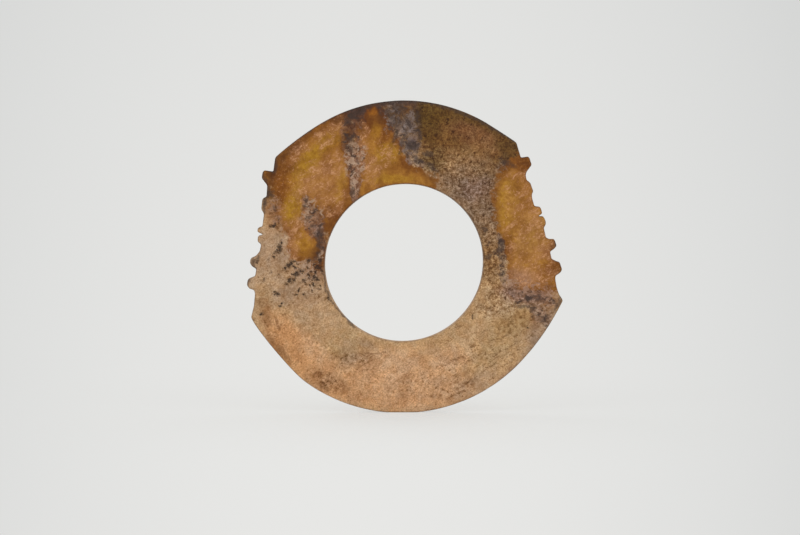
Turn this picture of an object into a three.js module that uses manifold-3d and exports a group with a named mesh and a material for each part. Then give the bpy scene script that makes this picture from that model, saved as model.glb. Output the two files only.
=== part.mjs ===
// A notched jade disc: a flat ring of one stone, standing on its edge, with a wide bore and two
// straight sides that are cut into rows of small teeth.
//
// Millimetres, +Z up. The disc stands in the XZ plane and shows its face to -Y. The origin is on
// the surface that it stands on, under the centre of the bore. The outline is drawn flat about
// the bore's centre, as seen by someone who looks at the face, and is stood up at the end.

import * as THREE from 'three';
import { mergeVertices } from 'three/addons/utils/BufferGeometryUtils.js';
import Module from 'manifold-3d';

const degrees = THREE.MathUtils.degToRad;

// The ring: its height, its two arcs and its bore
const BORE_HEIGHT = 67.5;          // from the foot to the bore's centre
const TOP_RADIUS = 72.9;           // the upper arc, struck from the bore's centre
const LOW_RADIUS = 73.8;           // the lower arc, struck from a little above it
const LOW_CENTRE_SHIFT = -1.1;     // the lower arc's centre, left of the bore's
const FOOT_WEAR = 0.3;             // what the lower arc has lost where the ring stands
const BORE_LONG = 71.6;            // the bore is a little oval, as one ground by hand is
const BORE_SHORT = 70.0;
const BORE_TILT = degrees(40);     // of its longer diameter, above the level

// The thickness: greatest beside the bore, least at the rim
const THICKNESS = 6.0;
const RIM_THICKNESS = 4.6;
const LAND_SHARE = 0.3;            // of the ring's width, flat and of full thickness
const TAPER_END_SHARE = 0.7;       // of the ring's width, where the slope meets the rim's faces
const RIM_BEVEL = 0.4;             // the ground edge all round the outline
const BORE_BEVEL = 0.45;
const BORE_FLARE = 0.35;           // the bore widens from its waist to both of its mouths,
const WAIST_RIDGE = 0.9;           // and the two cuts left a low ridge where they met
const WAIST_STEP = 0.08;

// The four shoulders, where an arc runs out to a toothed side. Each has the angle at which the
// outline leaves its arc, the angle of the shoulder and how far it stands out past the arc.
const UPPER_LEFT_LEAVE = degrees(122);
const UPPER_LEFT_ANGLE = degrees(140.6);
const UPPER_LEFT_FLARE = 1.85;
const UPPER_RIGHT_LEAVE = degrees(58);
const UPPER_RIGHT_ANGLE = degrees(47.03);
const UPPER_RIGHT_FLARE = 1.04;
const LOWER_LEFT_LEAVE = degrees(234);
const LOWER_LEFT_ANGLE = degrees(204.3);
const LOWER_LEFT_FLARE = 0.5;
const LOWER_LEFT_END = degrees(112);   // the way the nearly straight lower left stretch ends
const LOWER_RIGHT_LEAVE = degrees(318);
const LOWER_RIGHT_ANGLE = degrees(342.5);
const LOWER_RIGHT_FLARE = 2.35;
const FLARE_PULL_SHARE = 0.5;      // how long a flare keeps the direction of the arc it left
const STRAIGHT_PULL_SHARE = 0.2;   // the same for the nearly straight stretch,
const STRAIGHT_END_SHARE = 0.15;   // which turns up only this near its shoulder

// The teeth. Each row is one corner of a side's line: its place, as a share of the way from the
// upper to the lower shoulder, and its height out from the straight way between them, as a share
// of one tooth's height. Six teeth stand in three groups of two: a blunt hook and a long low
// swelling, a pair that a saw slit parts, and two knobs with a bay between them.
const TOOTH_HEIGHT = 4.5;
const CORNER_ROUND = 0.8;          // taken off every corner along both of its flanks

const leftToothShares = [
  [0.090, -0.01], [0.091, 0.92], [0.104, 1.04], [0.140, 1.03], [0.178, 0.38], [0.248, 0.29],
  [0.263, 0.66], [0.328, 0.62], [0.354, 0.27], [0.434, 0.24],
  [0.447, 0.67], [0.471, 0.66], [0.480, 0.12], [0.487, 0.12], [0.496, 0.54], [0.530, 0.49],
  [0.544, 0.09], [0.588, 0.14], [0.622, 0.46], [0.640, 0.93], [0.668, 0.93], [0.687, 0.66],
  [0.698, 0.20], [0.744, 0.22], [0.766, 0.82], [0.776, 0.91], [0.808, 0.90], [0.827, 0.58],
  [0.829, 0.12], [0.850, -0.04], [0.930, -0.11],
];

const rightToothShares = [
  [0.097, 0.00], [0.104, 0.80], [0.156, 0.84], [0.186, 0.18], [0.204, -0.04], [0.238, -0.08],
  [0.256, 0.19], [0.314, 0.24], [0.326, 0.02], [0.352, -0.07], [0.402, -0.07],
  [0.417, 0.48], [0.458, 0.48], [0.464, 0.09], [0.470, 0.09], [0.476, 0.50], [0.506, 0.59],
  [0.528, 0.50], [0.542, 0.21], [0.606, 0.14], [0.622, 0.46], [0.628, 0.90], [0.670, 0.94],
  [0.684, 0.62], [0.692, 0.14], [0.740, 0.08], [0.764, 0.52], [0.772, 0.77], [0.820, 0.78],
  [0.834, 0.52], [0.843, -0.02], [0.862, -0.14], [0.915, -0.23], [0.955, -0.22],
];

// How fine the facets are
const ARC_STEP = 1.6;              // along the arcs and the flares
const CORNER_STEPS = 4;
const ROUND_STEPS = 112;           // round the bore and the slope about it
const OVERRUN = 1;                 // how far the bore's cut runs past the faces
const LEAST_FACET = 0.01;          // points nearer than this are taken for one

const half = (size) => size / 2;

// Points along a curve, one every ARC_STEP, all but its last
function along(curve) {
  const steps = Math.ceil(curve.getLength() / ARC_STEP);
  return curve.getSpacedPoints(steps).slice(0, -1);
}

function onCircle(centre, radius, angle) {
  return new THREE.Vector2(
    centre.x + radius * Math.cos(angle),
    centre.y + radius * Math.sin(angle),
  );
}

function arc(centre, radius, from, to) {
  return new THREE.EllipseCurve(centre.x, centre.y, radius, radius, from, to);
}

// A point on the line that touches an arc at its start, turn being 1 for anticlockwise
function onTangent(start, angle, turn, reach) {
  const tangent = new THREE.Vector2(-Math.sin(angle), Math.cos(angle));
  return start.clone().addScaledVector(tangent, turn * reach);
}

// The stretch of outline that leaves an arc for its shoulder
function flare(centre, radius, leave, turn, shoulder) {
  const start = onCircle(centre, radius, leave);
  const reach = FLARE_PULL_SHARE * start.distanceTo(shoulder);
  return new THREE.QuadraticBezierCurve(start, onTangent(start, leave, turn, reach), shoulder);
}

// The same for the lower left, which was ground nearly straight and turns up at its end
function straightFlare(centre, radius, leave, turn, shoulder) {
  const start = onCircle(centre, radius, leave);
  const length = start.distanceTo(shoulder);
  const end = new THREE.Vector2(Math.cos(LOWER_LEFT_END), Math.sin(LOWER_LEFT_END));
  return new THREE.CubicBezierCurve(
    start,
    onTangent(start, leave, turn, STRAIGHT_PULL_SHARE * length),
    shoulder.clone().addScaledVector(end, -STRAIGHT_END_SHARE * length),
    shoulder,
  );
}

// A line of straight runs with every corner rounded, apart from its two ends, which it leaves out
function rounded(corners) {
  return corners.slice(1, -1).flatMap((corner, index) => {
    const towards = (neighbour) => {
      const run = corner.distanceTo(neighbour);
      return corner.clone().lerp(neighbour, Math.min(CORNER_ROUND, half(run)) / run);
    };
    const curve = new THREE.QuadraticBezierCurve(
      towards(corners[index]),
      corner,
      towards(corners[index + 2]),
    );
    return curve.getPoints(CORNER_STEPS);
  });
}

// A toothed side, from the upper flare's end down to the lower one's. turn is 1 where the teeth
// point to the left of the way down and -1 where they point to its right.
function toothedSide(upperFlare, upper, shares, lower, lowerFlare, turn) {
  const down = lower.clone().sub(upper);
  const out = new THREE.Vector2(-down.y, down.x).normalize().multiplyScalar(turn);
  const corners = shares.map(([place, height]) => upper.clone()
    .addScaledVector(down, place)
    .addScaledVector(out, height * TOOTH_HEIGHT));
  return rounded([upperFlare.at(-1), upper, ...corners, lower, lowerFlare.at(-1)]);
}

// The whole outline, anticlockwise from the right end of the foot
function outline() {
  const bore = new THREE.Vector2();
  const low = new THREE.Vector2(LOW_CENTRE_SHIFT, LOW_RADIUS - FOOT_WEAR - BORE_HEIGHT);
  const footHalfAngle = Math.acos((LOW_RADIUS - FOOT_WEAR) / LOW_RADIUS);
  const straightDown = degrees(270);

  const upperLeft = onCircle(bore, TOP_RADIUS + UPPER_LEFT_FLARE, UPPER_LEFT_ANGLE);
  const upperRight = onCircle(bore, TOP_RADIUS + UPPER_RIGHT_FLARE, UPPER_RIGHT_ANGLE);
  const lowerLeft = onCircle(low, LOW_RADIUS + LOWER_LEFT_FLARE, LOWER_LEFT_ANGLE);
  const lowerRight = onCircle(low, LOW_RADIUS + LOWER_RIGHT_FLARE, LOWER_RIGHT_ANGLE);

  const flares = {
    upperLeft: along(flare(bore, TOP_RADIUS, UPPER_LEFT_LEAVE, 1, upperLeft)),
    upperRight: along(flare(bore, TOP_RADIUS, UPPER_RIGHT_LEAVE, -1, upperRight)),
    lowerLeft: along(straightFlare(low, LOW_RADIUS, LOWER_LEFT_LEAVE, -1, lowerLeft)),
    lowerRight: along(flare(low, LOW_RADIUS, LOWER_RIGHT_LEAVE, 1, lowerRight)),
  };
  const left = toothedSide(
    flares.upperLeft, upperLeft, leftToothShares, lowerLeft, flares.lowerLeft, -1,
  );
  const right = toothedSide(
    flares.upperRight, upperRight, rightToothShares, lowerRight, flares.lowerRight, 1,
  );
  const footLeft = straightDown - footHalfAngle;
  const footRight = straightDown + footHalfAngle;

  const points = [
    ...along(arc(low, LOW_RADIUS, footRight, LOWER_RIGHT_LEAVE)),
    ...flares.lowerRight,
    ...right.reverse(),
    ...flares.upperRight.slice(1).reverse(),
    ...along(arc(bore, TOP_RADIUS, UPPER_RIGHT_LEAVE, UPPER_LEFT_LEAVE)),
    ...flares.upperLeft,
    ...left,
    ...flares.lowerLeft.slice(1).reverse(),
    ...along(arc(low, LOW_RADIUS, LOWER_LEFT_LEAVE, footLeft)),
    onCircle(low, LOW_RADIUS, footLeft),
  ];
  return points.filter((point, index) => point.distanceTo(points.at(index - 1)) > LEAST_FACET);
}

// An outline drawn in all round. Each point moves along its bisector, and where the outline turns
// sharply no further than a square corner's point would.
function drawnIn(points, inset) {
  const outwards = (from, to) => {
    const run = to.clone().sub(from).normalize();
    return new THREE.Vector2(run.y, -run.x);
  };
  return points.map((point, index) => {
    const before = outwards(points.at(index - 1), point);
    const after = outwards(point, points[(index + 1) % points.length]);
    const bisector = before.clone().add(after).divideScalar(1 + before.dot(after));
    return point.clone().addScaledVector(bisector.clampLength(0, Math.SQRT2), -inset);
  });
}

// A slab of the whole outline, with a ground edge on both of its faces. It is built in four layers.
// The faces take the triangles of the rim's own outline, so they close whatever the sizes are.
function slab(thickness) {
  const face = half(thickness);
  const rim = outline();
  const drawn = drawnIn(rim, RIM_BEVEL);
  const layers = [
    [drawn, -face], [rim, RIM_BEVEL - face], [rim, face - RIM_BEVEL], [drawn, face],
  ];
  const places = layers.flatMap(([points, height]) => points.flatMap(({ x, y }) => [x, y, height]));
  const at = (layer, index) => layer * rim.length + (index % rim.length);
  const top = layers.length - 1;

  const faces = THREE.ShapeUtils.triangulateShape(rim, [])
    .flatMap(([a, b, c]) => [at(0, c), at(0, b), at(0, a), at(top, a), at(top, b), at(top, c)]);
  const walls = layers.slice(1).flatMap((_, layer) => rim.flatMap((__, index) => [
    at(layer, index), at(layer, index + 1), at(layer + 1, index),
    at(layer, index + 1), at(layer + 1, index + 1), at(layer + 1, index),
  ]));

  const geometry = new THREE.BufferGeometry();
  geometry.setAttribute('position', new THREE.Float32BufferAttribute(places, 3));
  geometry.setIndex([...faces, ...walls]);
  return geometry;
}

// A solid turned about the bore's axis, from pairs of radius and height
function turned(corners) {
  const profile = corners.map(([radius, height]) => new THREE.Vector2(radius, height));
  return new THREE.LatheGeometry(profile, ROUND_STEPS).rotateX(half(Math.PI));
}

// The thicker middle, whose faces slope down to the rim's
function middle() {
  const face = half(THICKNESS);
  const rimFace = half(RIM_THICKNESS);
  const inner = half(BORE_LONG);
  const width = TOP_RADIUS - inner;
  const land = inner + LAND_SHARE * width;
  const edge = inner + TAPER_END_SHARE * width;
  return turned([
    [0, -face], [land, -face], [edge, -rimFace], [edge, rimFace], [land, face], [0, face],
  ]);
}

// What the bore takes away: two shallow cones that meet at a low ridge
function bore() {
  const face = half(THICKNESS);
  const waist = half(BORE_SHORT);
  const mouth = waist + BORE_FLARE;
  const upper = [
    [waist, 0],
    [waist + WAIST_STEP, half(WAIST_RIDGE)],
    [mouth, face - BORE_BEVEL],
    [mouth + BORE_BEVEL + OVERRUN, face + OVERRUN],
    [0, face + OVERRUN],
  ];
  const lower = upper.slice(1).reverse().map(([radius, height]) => [radius, -height]);
  return turned([...lower, ...upper])
    .rotateZ(-BORE_TILT)
    .scale(BORE_LONG / BORE_SHORT, 1, 1)
    .rotateZ(BORE_TILT);
}

// Solids to join and cut
const manifold = await Module();
manifold.setup();

function solid(geometry) {
  const bare = geometry.clone();
  bare.deleteAttribute('normal');
  bare.deleteAttribute('uv');
  const merged = mergeVertices(bare);
  const triangles = [];
  for (let start = 0; start < merged.index.count; start += 3) {
    const [a, b, c] = merged.index.array.slice(start, start + 3);
    if (a !== b && b !== c && c !== a) triangles.push(a, b, c);
  }
  return new manifold.Manifold(new manifold.Mesh({
    numProp: 3,
    vertProperties: new Float32Array(merged.attributes.position.array),
    triVerts: new Uint32Array(triangles),
  }));
}

function geometryOf(shape) {
  const mesh = shape.getMesh();
  const geometry = new THREE.BufferGeometry();
  geometry.setAttribute('position', new THREE.BufferAttribute(mesh.vertProperties, 3));
  geometry.setIndex(new THREE.BufferAttribute(mesh.triVerts, 1));
  geometry.computeVertexNormals();
  return geometry;
}

// The stone, stood up on its foot with its face to -Y
function jadeDisc() {
  const thickMiddle = solid(slab(THICKNESS)).intersect(solid(middle()));
  const stone = solid(slab(RIM_THICKNESS)).add(thickMiddle).subtract(solid(bore()));
  const mesh = new THREE.Mesh(geometryOf(stone), new THREE.MeshStandardMaterial({
    color: 0xa37a4f,
    roughness: 0.45,
    metalness: 0,
  }));
  mesh.name = 'jade_disc';
  mesh.rotation.x = half(Math.PI);
  mesh.position.z = BORE_HEIGHT;
  return mesh;
}

const part = new THREE.Group();
part.add(jadeDisc());

export default part;
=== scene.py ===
# A notched jade disc standing on its edge on a pale table: the stone's fine surface, its colours
# and its finish, with a soft studio round it.
#
# Places on the stone are in millimetres, across and up from the centre of its bore, as seen by
# someone who looks at its face. Everything in the scene is in metres, +Z up.

import math

import bpy
import numpy as np
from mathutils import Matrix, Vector, noise


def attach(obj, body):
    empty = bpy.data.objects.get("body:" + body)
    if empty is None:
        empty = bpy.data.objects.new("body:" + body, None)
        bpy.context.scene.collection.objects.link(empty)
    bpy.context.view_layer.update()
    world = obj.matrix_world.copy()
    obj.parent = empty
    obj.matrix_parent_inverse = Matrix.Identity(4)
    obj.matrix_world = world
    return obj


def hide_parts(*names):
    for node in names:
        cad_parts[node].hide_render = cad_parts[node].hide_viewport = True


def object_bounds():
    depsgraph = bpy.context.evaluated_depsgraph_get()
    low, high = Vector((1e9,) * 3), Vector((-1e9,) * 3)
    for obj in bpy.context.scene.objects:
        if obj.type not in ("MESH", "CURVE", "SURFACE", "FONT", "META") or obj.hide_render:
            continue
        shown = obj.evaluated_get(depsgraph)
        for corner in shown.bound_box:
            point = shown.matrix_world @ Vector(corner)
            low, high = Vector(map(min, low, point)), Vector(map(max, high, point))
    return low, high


MM = 0.001
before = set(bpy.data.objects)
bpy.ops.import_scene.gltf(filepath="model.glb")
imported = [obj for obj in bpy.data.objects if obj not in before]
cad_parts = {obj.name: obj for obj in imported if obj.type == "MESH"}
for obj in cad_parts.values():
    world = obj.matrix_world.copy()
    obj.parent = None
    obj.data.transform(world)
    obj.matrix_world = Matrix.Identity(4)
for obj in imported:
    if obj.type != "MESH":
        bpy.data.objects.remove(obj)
cad_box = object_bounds()

# The disc: how high the centre of its bore stands, and half its thickness, in millimetres
BORE_HEIGHT = 67.5
HALF_THICKNESS = 3.0

# Camera: how far it looks down, its distance and the width that it sees in metres, the place that
# it looks at in millimetres across and above the table, its sensor's width in millimetres, and how
# far it sees in metres
VIEW_ELEVATION = math.radians(4)
VIEW_DISTANCE = 1.6
FRAME_WIDTH = 0.36
AIM_ACROSS = -1.8
AIM_HEIGHT = 65.3
SENSOR = 36
SIGHT = 20

# Fine surface: points this near each other are one, faces that turn less than this, in radians,
# are one, and the grid's lines lie this far apart. Swells and ripples wear the stone inwards.
SAME_PLACE = 0.001
FLAT = 0.01
GRID = 1.3
SWELL = 14
SWELL_DEPTH = 0.12
RIPPLE = 2.2
RIPPLE_DEPTH = 0.04

# How far the colours wander from the places below, in swirls of these sizes
BROAD_SWIRL = 9
BROAD_REACH = 1.1
TIGHT_SWIRL = 2.4
TIGHT_REACH = 1.0
THROUGH_SWIRL = 30
THROUGH_REACH = 16

# Where in the noise the three parts of a swirl are read, in lumps
SWIRL_SHIFTS = (7.3, 31.7, 58.1)

# Blots and veins are gone at this many of their half widths
FADE_END = 1.5

# The clear stone's border is a slope of this width. Rust lies on the inner half of a wider one.
AMBER_SOFTNESS = 7
AMBER_RIM = 9
AMBER_RIM_STRENGTH = 0.75

# Edges are painted darker as the surface turns from the face, this fast, by an uneven amount, in
# lumps of this size. Nearer the centre than this they are the bore's, and darken by a share of it.
EDGE_REACH = 2.2
EDGE_DARKNESS = 0.6
EDGE_UNEVEN = 0.4
EDGE_LUMP = 7
BORE_EDGE = 40
BORE_EDGE_SHARE = 0.55


def linear(red, green, blue):
    """A colour given in 0 to 255, as the shaders want it."""
    def part(value):
        value /= 255
        return value / 12.92 if value <= 0.04045 else ((value + 0.055) / 1.055) ** 2.4
    return (part(red), part(green), part(blue), 1.0)


TAN = linear(190, 154, 112)
BEIGE = linear(184, 151, 118)
PALE = linear(192, 160, 128)
LIGHT = linear(208, 166, 126)
PEACH = linear(208, 160, 116)
ORANGE_PEACH = linear(192, 140, 90)
OLIVE = linear(184, 152, 108)
OCHRE = linear(164, 126, 74)
GREY = linear(152, 126, 104)
BLUE_GREY = linear(124, 106, 96)
STAIN = linear(144, 98, 56)
GREIGE = linear(146, 116, 88)
BROWN = linear(122, 84, 40)
OCHRE_BROWN = linear(158, 118, 74)
RED_BROWN = linear(132, 88, 54)
BRICK = linear(150, 112, 86)
UMBER = linear(95, 66, 22)
SOOT = linear(64, 48, 30)
AMBER = linear(156, 104, 40)
YELLOW = linear(165, 120, 29)
GOLD = linear(171, 120, 32)
HONEY = linear(178, 126, 64)
FLAME = linear(158, 96, 24)
RUST = linear(124, 73, 21)
BURNT = linear(90, 52, 20)
ROSE = linear(160, 110, 68)
MAUVE = linear(132, 104, 88)
PINK_MAUVE = linear(156, 118, 96)
NAVY = linear(68, 58, 58)
SLATE = linear(118, 102, 94)
PLUM = linear(80, 54, 43)
CURD = linear(176, 146, 122)

# Washes of colour, painted one over another: a colour, a place across and up, half the wash's
# length and half its width, its tilt in degrees and its strength. The first are on the altered
# stone, and then come those on the clear stone, in the veins and on the curds.
BODY_WASHES = [
    (BEIGE, -54, -4, 22, 16, 0, 0.9),
    (PALE, -62, 8, 4, 8, 0, 0.6),
    (ROSE, -59, 22, 4, 8, 0, 0.8),
    (STAIN, -59.5, 27, 2.6, 5, 0, 0.7),
    (BROWN, -60.4, 30.4, 3, 2.6, 0, 1.0),
    (RED_BROWN, -38, 1, 4, 6, 0, 0.6),
    (RED_BROWN, -41, -3, 5, 5, 0, 0.55),
    (OCHRE, -63, -14, 6, 4, 90, 0.35),
    (PALE, -44, -24, 8, 4, -20, 0.4),
    (GREY, -44, -14, 13, 5, 8, 0.35),
    (GREY, -60, 5, 8, 7, 0, 0.3),
    (STAIN, -56, -35, 6, 4, -50, 0.4),
    (BEIGE, -40, -22, 14, 7, -50, 0.6),
    (ORANGE_PEACH, -53, -34, 12, 6, -50, 0.9),
    (PEACH, -44, -42, 22, 8, -45, 0.9),
    (ORANGE_PEACH, -48, -41, 16, 8, -45, 0.6),
    (PEACH, -4, -56, 36, 11, 0, 0.9),
    (PEACH, 0, -46, 26, 8, 0, 0.6),
    (LIGHT, 2, -52, 9, 5, 0, 0.5),
    (LIGHT, -40, -40, 9, 4, -45, 0.5),
    (LIGHT, -5, -45, 14, 5, -6, 0.8),
    (OLIVE, -27, -36, 7, 6, 0, 0.5),
    (TAN, -38, -28, 12, 4, -40, 0.35),
    (PALE, -26, -37, 3, 3, 0, 0.4),
    (ORANGE_PEACH, -22, -60, 12, 3, -12, 0.5),
    (STAIN, -34, -54, 10, 4, -28, 0.4),
    (ORANGE_PEACH, -20, -55, 9, 4, -14, 0.35),
    (PALE, -22, -44, 5, 3, 0, 0.3),
    (STAIN, -33, -33, 6, 4, 0, 0.12),
    (GREY, -24, -43, 5, 3.4, 0, 0.25),
    (GREY, -14, -46, 5, 3, -20, 0.15),
    (GREY, -17, -36, 5, 2, -30, 0.4),
    (LIGHT, 15, -56, 9, 5, 0, 0.9),
    (LIGHT, 23, -43, 11, 6, 30, 0.9),
    (LIGHT, 33, -33, 8, 4, 45, 0.6),
    (LIGHT, 0, -57, 26, 9, 0, 0.35),
    (PALE, 44, -22, 6, 4, 0, 0.3),
    (STAIN, 0, -55, 8, 3, 80, 0.25),
    (STAIN, 24, -62, 6, 2, 20, 0.3),
    (OCHRE, 34, -48, 8, 3, 30, 0.15),
    (PALE, 32, -56, 12, 6, 34, 0.6),
    (GREY, 46, -54, 13, 3, 42, 0.3),
    (PINK_MAUVE, 45, -53, 10, 2, 44, 0.3),
    (GREY, 58, -40, 12, 3, 52, 0.5),
    (OLIVE, 40, -34, 20, 8, 35, 0.5),
    (LIGHT, 22, -44, 7, 4, 20, 0.85),
    (GREY, 55, -33, 7, 4, 50, 0.25),
    (GREY, 11, -66, 8, 2.4, 8, 0.2),
    (GREY, 61, -29, 10, 5, 60, 0.7),
    (OCHRE_BROWN, 44, -12, 9, 5, 60, 0.4),
    (OCHRE, 50, -26, 9, 4, 20, 0.4),
    (BEIGE, 48, -16, 5, 3, -20, 0.7),
    (PINK_MAUVE, 55, -14, 12, 4, -10, 0.9),
    (RED_BROWN, 60, -24, 6, 4, 50, 0.5),
    (RED_BROWN, 64, -17, 7, 4, -20, 0.5),
    (STAIN, -61, -24, 7, 1.8, 92, 0.7),
    (STAIN, -56, -39, 7, 1.6, -50, 0.7),
    (STAIN, -63, -17, 2, 2, 0, 0.5),
    (GREIGE, 30, 30, 24, 14, -55, 1.0),
    (OCHRE_BROWN, 38, 5, 14, 5, 95, 0.9),
    (GREIGE, 36, 18, 10, 4, 110, 0.5),
    (BROWN, 26, 56, 36, 14, -22, 1.0),
    (RED_BROWN, 34, 57, 16, 6, -24, 0.7),
    (OCHRE_BROWN, 24, 44, 11, 6, -20, 1.0),
    (TAN, 23, 44, 6, 3, -20, 0.3),
    (OCHRE_BROWN, 32, 50, 7, 4, 0, 0.5),
    (UMBER, 10, 68, 14, 6, -8, 0.9),
    (BROWN, 2, 70, 5, 3, 0, 0.5),
    (UMBER, 34, 65, 20, 4, -28, 0.8),
    (UMBER, 12, 60, 4, 9, 10, 0.7),
    (UMBER, 47, 52, 8, 5, -30, 0.7),
    (UMBER, 14, 47, 6, 4, 0, 0.5),
    (SOOT, 47, 46, 5, 2.4, -20, 0.4),
    (SOOT, 7, 62, 2, 8, 0, 0.5),
    (BLUE_GREY, 32, 34, 8, 5, 20, 0.4),
    (PINK_MAUVE, 33, 33, 6, 5, 0, 0.4),
    (UMBER, 12, 44, 6, 3, -35, 0.5),
    (BLUE_GREY, 26, 40, 6, 4, 0, 0.3),
    (BLUE_GREY, 45, 42, 4, 3, 0, 0.5),
    (GREIGE, 33, 44, 7, 4, 0, 0.4),
]

AMBER_WASHES = [
    (ROSE, -36, 38, 14, 9, 20, 0.3),
    (RUST, -33, 22, 8, 4, 50, 0.7),
    (RUST, -43, 13, 5, 4, 40, 0.65),
    (PINK_MAUVE, -64.6, 46, 3, 3, 0, 0.6),
    (YELLOW, -51, 26, 9, 5, 75, 0.8),
    (YELLOW, -46, 44, 9, 5, 40, 0.6),
    (YELLOW, -40, 50, 9, 3, 45, 0.6),
    (YELLOW, -30, 57, 8, 3, 20, 0.4),
    (YELLOW, -28, 36, 9, 2, 80, 0.4),
    (GOLD, -46, 7, 9, 3.4, 80, 0.65),
    (ROSE, -50, 6, 3, 7, 10, 0.5),
    (RUST, -54, 44, 12, 4.5, 60, 0.9),
    (BURNT, -56, 45, 4, 2, 60, 0.5),
    (RUST, -58, 34, 10, 3.5, 85, 0.8),
    (BURNT, -60, 40, 5, 2.2, 80, 0.7),
    (BURNT, -50, 53, 8, 2.5, 44, 0.6),
    (BURNT, -60, 30, 5, 2.6, 90, 0.9),
    (RUST, -36, 62, 16, 3, 30, 0.7),
    (BURNT, -27, 66, 6, 3, 24, 0.8),
    (RUST, -30, 20, 9, 3.5, 55, 0.8),
    (RUST, -25, 34, 8, 2, 75, 0.5),
    (BURNT, -38.4, 2, 5, 4, 80, 1.0),
    (RUST, -50, 3, 5, 3, 0, 0.6),
    (ROSE, -54, 10, 3, 7, 0, 0.5),
    (RUST, -14, 67, 10, 8, 0, 1.0),
    (FLAME, -13.4, 68, 2.2, 1.6, 0, 0.8),
    (GOLD, -12, 60, 3.6, 2, 80, 0.5),
    (BURNT, -9, 67.6, 2.4, 4, 0, 0.7),
    (BURNT, -11, 65, 4, 3, 0, 0.25),
    (BURNT, -17, 71.6, 10, 2, 10, 0.8),
    (BURNT, -18.6, 63, 2, 4, 10, 0.4),
    (RUST, -7, 60, 9, 2.6, 66, 0.9),
    (BURNT, -4, 55, 7, 1.6, 66, 0.6),
    (YELLOW, -7, 49, 6, 4, 0, 0.7),
    (YELLOW, -5, 38, 10, 2, 0, 0.6),
    (ROSE, -14, 43, 5, 5, 0, 0.4),
    (YELLOW, -11, 45, 5, 4, 0, 0.3),
    (FLAME, -55, 33, 6, 4, 80, 0.3),
    (RUST, -33, 55, 6, 4, 0, 0.12),
    (RUST, 2, 44.4, 6, 3, -30, 0.8),
    (BURNT, 12, 39, 5, 2.4, -40, 0.6),
    (HONEY, 53, 18, 20, 8, 98, 0.5),
    (RUST, 65, 6, 4, 5, 0, 0.5),
    (RUST, 53, 45, 7, 4, 0, 1.0),
    (BURNT, 54, 47, 4, 2.4, 0, 0.5),
    (YELLOW, 47, 26, 12, 5, 85, 0.6),
    (HONEY, 48, 26, 7, 3, 85, 0.6),
    (YELLOW, 56, 12, 9, 5, 60, 0.8),
    (YELLOW, 62, 15, 8, 3, 80, 0.6),
    (RUST, 55, 34, 5, 7, 0, 0.4),
    (GOLD, 54, 0, 6, 3, 0, 0.4),
    (ROSE, 57, 12, 6, 10, 0, 0.5),
    (ROSE, 51, 5, 6, 4, 60, 0.4),
    (RUST, 40, 26, 14, 1.4, 92, 0.6),
    (RUST, 67, 0, 6, 4, 80, 0.8),
    (RUST, 64, -7, 8, 4, 60, 0.3),
    (BURNT, 69, -4, 4, 2.4, 80, 0.5),
    (BURNT, 67, 8, 2.4, 2.4, 0, 0.7),
    (PINK_MAUVE, 51, -7, 7, 4, 0, 0.7),
    (RUST, 47, 8, 8, 2, 100, 0.6),
]

VEIN_WASHES = [
    (PLUM, -24, 57, 4, 8, 0, 0.9),
    (PINK_MAUVE, -22.4, 42, 4, 9, 0, 1.0),
    (PLUM, -21, 68, 9, 5, 0, 1.0),
    (PLUM, -37, 8, 3, 6, 0, 0.6),
    (BRICK, -44, 23, 4, 5, 0, 0.4),
    (PLUM, 0, 70, 14, 7, 0, 0.9),
    (RED_BROWN, 1.6, 70, 3.4, 2.4, 0, 0.5),
    (SLATE, 2.4, 60, 5, 4.6, 0, 0.8),
    (PLUM, -6, 64, 11, 2.6, 66, 0.8),
    (NAVY, 4, 52, 4, 3, 0, 0.8),
    (PLUM, 8, 46, 6, 3, -35, 0.4),
    (NAVY, 43.4, 6, 3, 5, 0, 0.8),
    (PLUM, 44.6, -3, 3, 6, 0, 0.7),
    (PINK_MAUVE, 60, -20, 12, 6, 0, 0.6),
    (PLUM, 67, -17, 3, 3, 0, 0.35),
]

CURD_WASHES = [
    (SLATE, 0, 60, 10, 16, 0, 1.0),
    (GREIGE, -24, 56, 4, 6, 0, 0.6),
    (GREIGE, -41, 22, 7, 7, 0, 0.4),
    (PINK_MAUVE, 56, -12, 12, 7, 0, 0.8),
    (BRICK, -58, 20, 4, 10, 0, 0.8),
]

# Where each kind of stone lies. A field is the corners of an area, a blot is a place across and
# up with half its length, half its width and its tilt, and a vein is a row of places, each with
# half its width.

# The clear stone
AMBER_FIELDS = [
    [(-66, 50), (-50, 58), (-40, 66), (-29, 74), (-22, 74), (-22, 26), (-30, 14), (-35.5, 12),
     (-34, 9), (-34, 1), (-38, -2), (-41, 0.5), (-50, 0.5), (-53, 4.5), (-53.5, 10), (-56, 15),
     (-58, 20), (-58, 27), (-60.5, 32), (-66, 36)],
    [(-23, 74), (-7, 74), (-5, 64), (-1, 54), (2, 47), (7, 43), (12, 40), (16, 37.5), (14, 31),
     (-23, 25)],
    [(44, 43), (50, 48), (60, 50), (62, 40), (75, 10), (75, -14), (68, -15), (60, -13),
     (52, -11), (46.5, -8), (46, -2), (45, 6), (42, 14), (40.5, 22), (40.5, 34), (42, 39)],
]

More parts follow.
